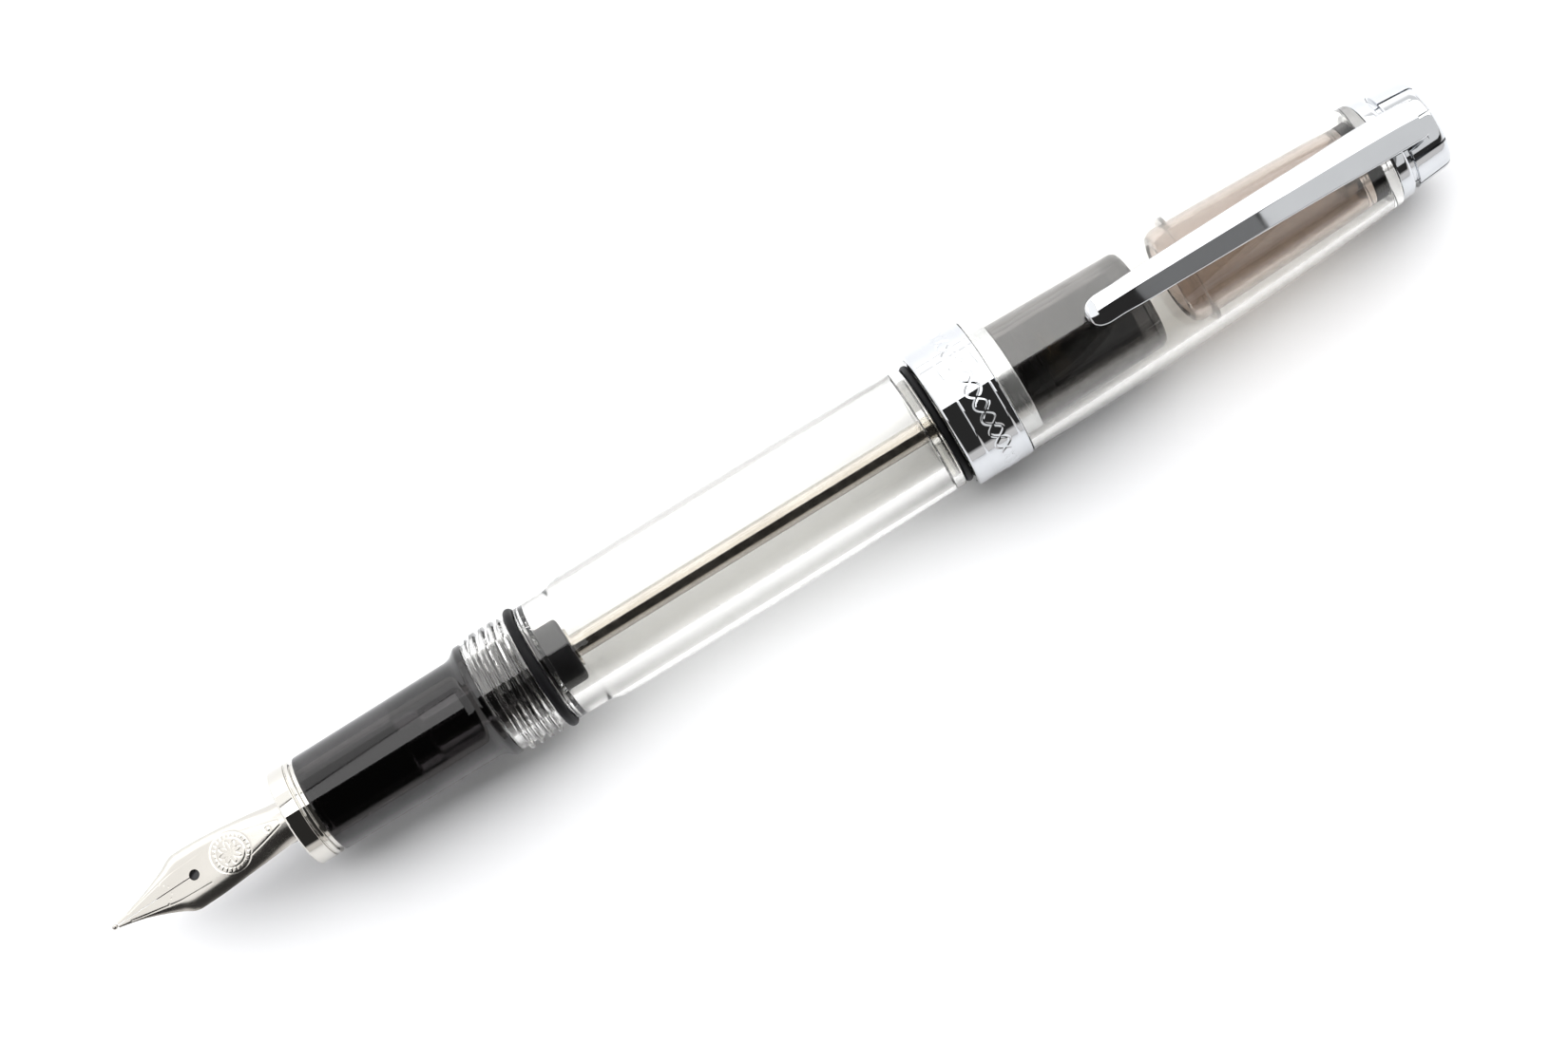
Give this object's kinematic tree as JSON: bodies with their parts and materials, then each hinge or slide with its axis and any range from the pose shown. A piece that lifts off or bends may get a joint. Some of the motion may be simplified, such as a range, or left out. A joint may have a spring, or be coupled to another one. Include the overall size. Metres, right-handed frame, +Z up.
{
  "type": "fountain pen",
  "caption": "Clear vacuum-filling fountain pen with a steel nib, dark grip, plunger rod inside, and its clear clipped cap posted on the tail.",
  "frame": {"origin": "under the middle of the pen's length and width, on the surface that it lies on", "axes": "+X along the pen's axis from the nib to the cap's finial, +Z up through the pocket clip, +Y to the left when looking from the nib to the cap"},
  "size_m": [0.1674, 0.0164, 0.0188],
  "materials": {
    "clear_resin": "clear, polished",
    "smoke_resin": "dark smoke, slightly see-through, polished",
    "tinted_resin": "pale brown-grey, see-through",
    "chrome": "polished plating",
    "steel": "polished, faintly brushed",
    "black_plastic": "satin black",
    "rubber": "matte black",
    "brass": "turned"
  },
  "bodies": {
    "barrel": {"nib": "steel", "nib_tip": "steel", "feed": "black_plastic", "nib_collar": "black_plastic", "grip_trim_ring": "chrome", "grip_section": "smoke_resin", "grip_o_ring": "rubber", "barrel": "clear_resin", "barrel_front_o_ring": "rubber", "barrel_rear_o_ring": "rubber", "gland": "clear_resin", "rod_seal_1": "rubber", "rod_seal_2": "rubber", "gland_nut": "brass"},
    "plunger": {"plunger_seal": "rubber", "plunger_washer": "steel", "plunger_rod": "steel", "knob_washer": "steel", "knob_nut": "brass"},
    "knob": {"knob_collar": "chrome", "filler_knob": "smoke_resin"},
    "cap": {"cap_body": "clear_resin", "cap_band": "chrome", "inner_liner": "tinted_resin", "liner_gasket": "rubber", "liner_screw": "steel", "clip_ring": "chrome", "finial": "chrome", "finial_inlay": "black_plastic"},
    "clip": {"pocket_clip": "chrome"}
  },
  "joints": [
    {"name": "plunger_pull", "type": "slide", "parent": "barrel", "child": "plunger", "axis": [1, 0, 0], "range_m": [0, 0.043]},
    {"name": "knob_turn", "type": "hinge", "parent": "plunger", "child": "knob", "pos_m": [0.03405, 0, 0.00822], "axis": [1, 0, 0], "range_deg": [0, 1080]},
    {"name": "cap_pull", "type": "slide", "parent": "knob", "child": "cap", "axis": [1, 0, 0], "range_m": [0, 0.045]},
    {"name": "clip_flex", "type": "hinge", "parent": "cap", "child": "clip", "pos_m": [0.07985, 0, 0.01372], "axis": [0, 1, 0], "range_deg": [0, 4], "stiffness_Nm_per_rad": 2}
  ]
}
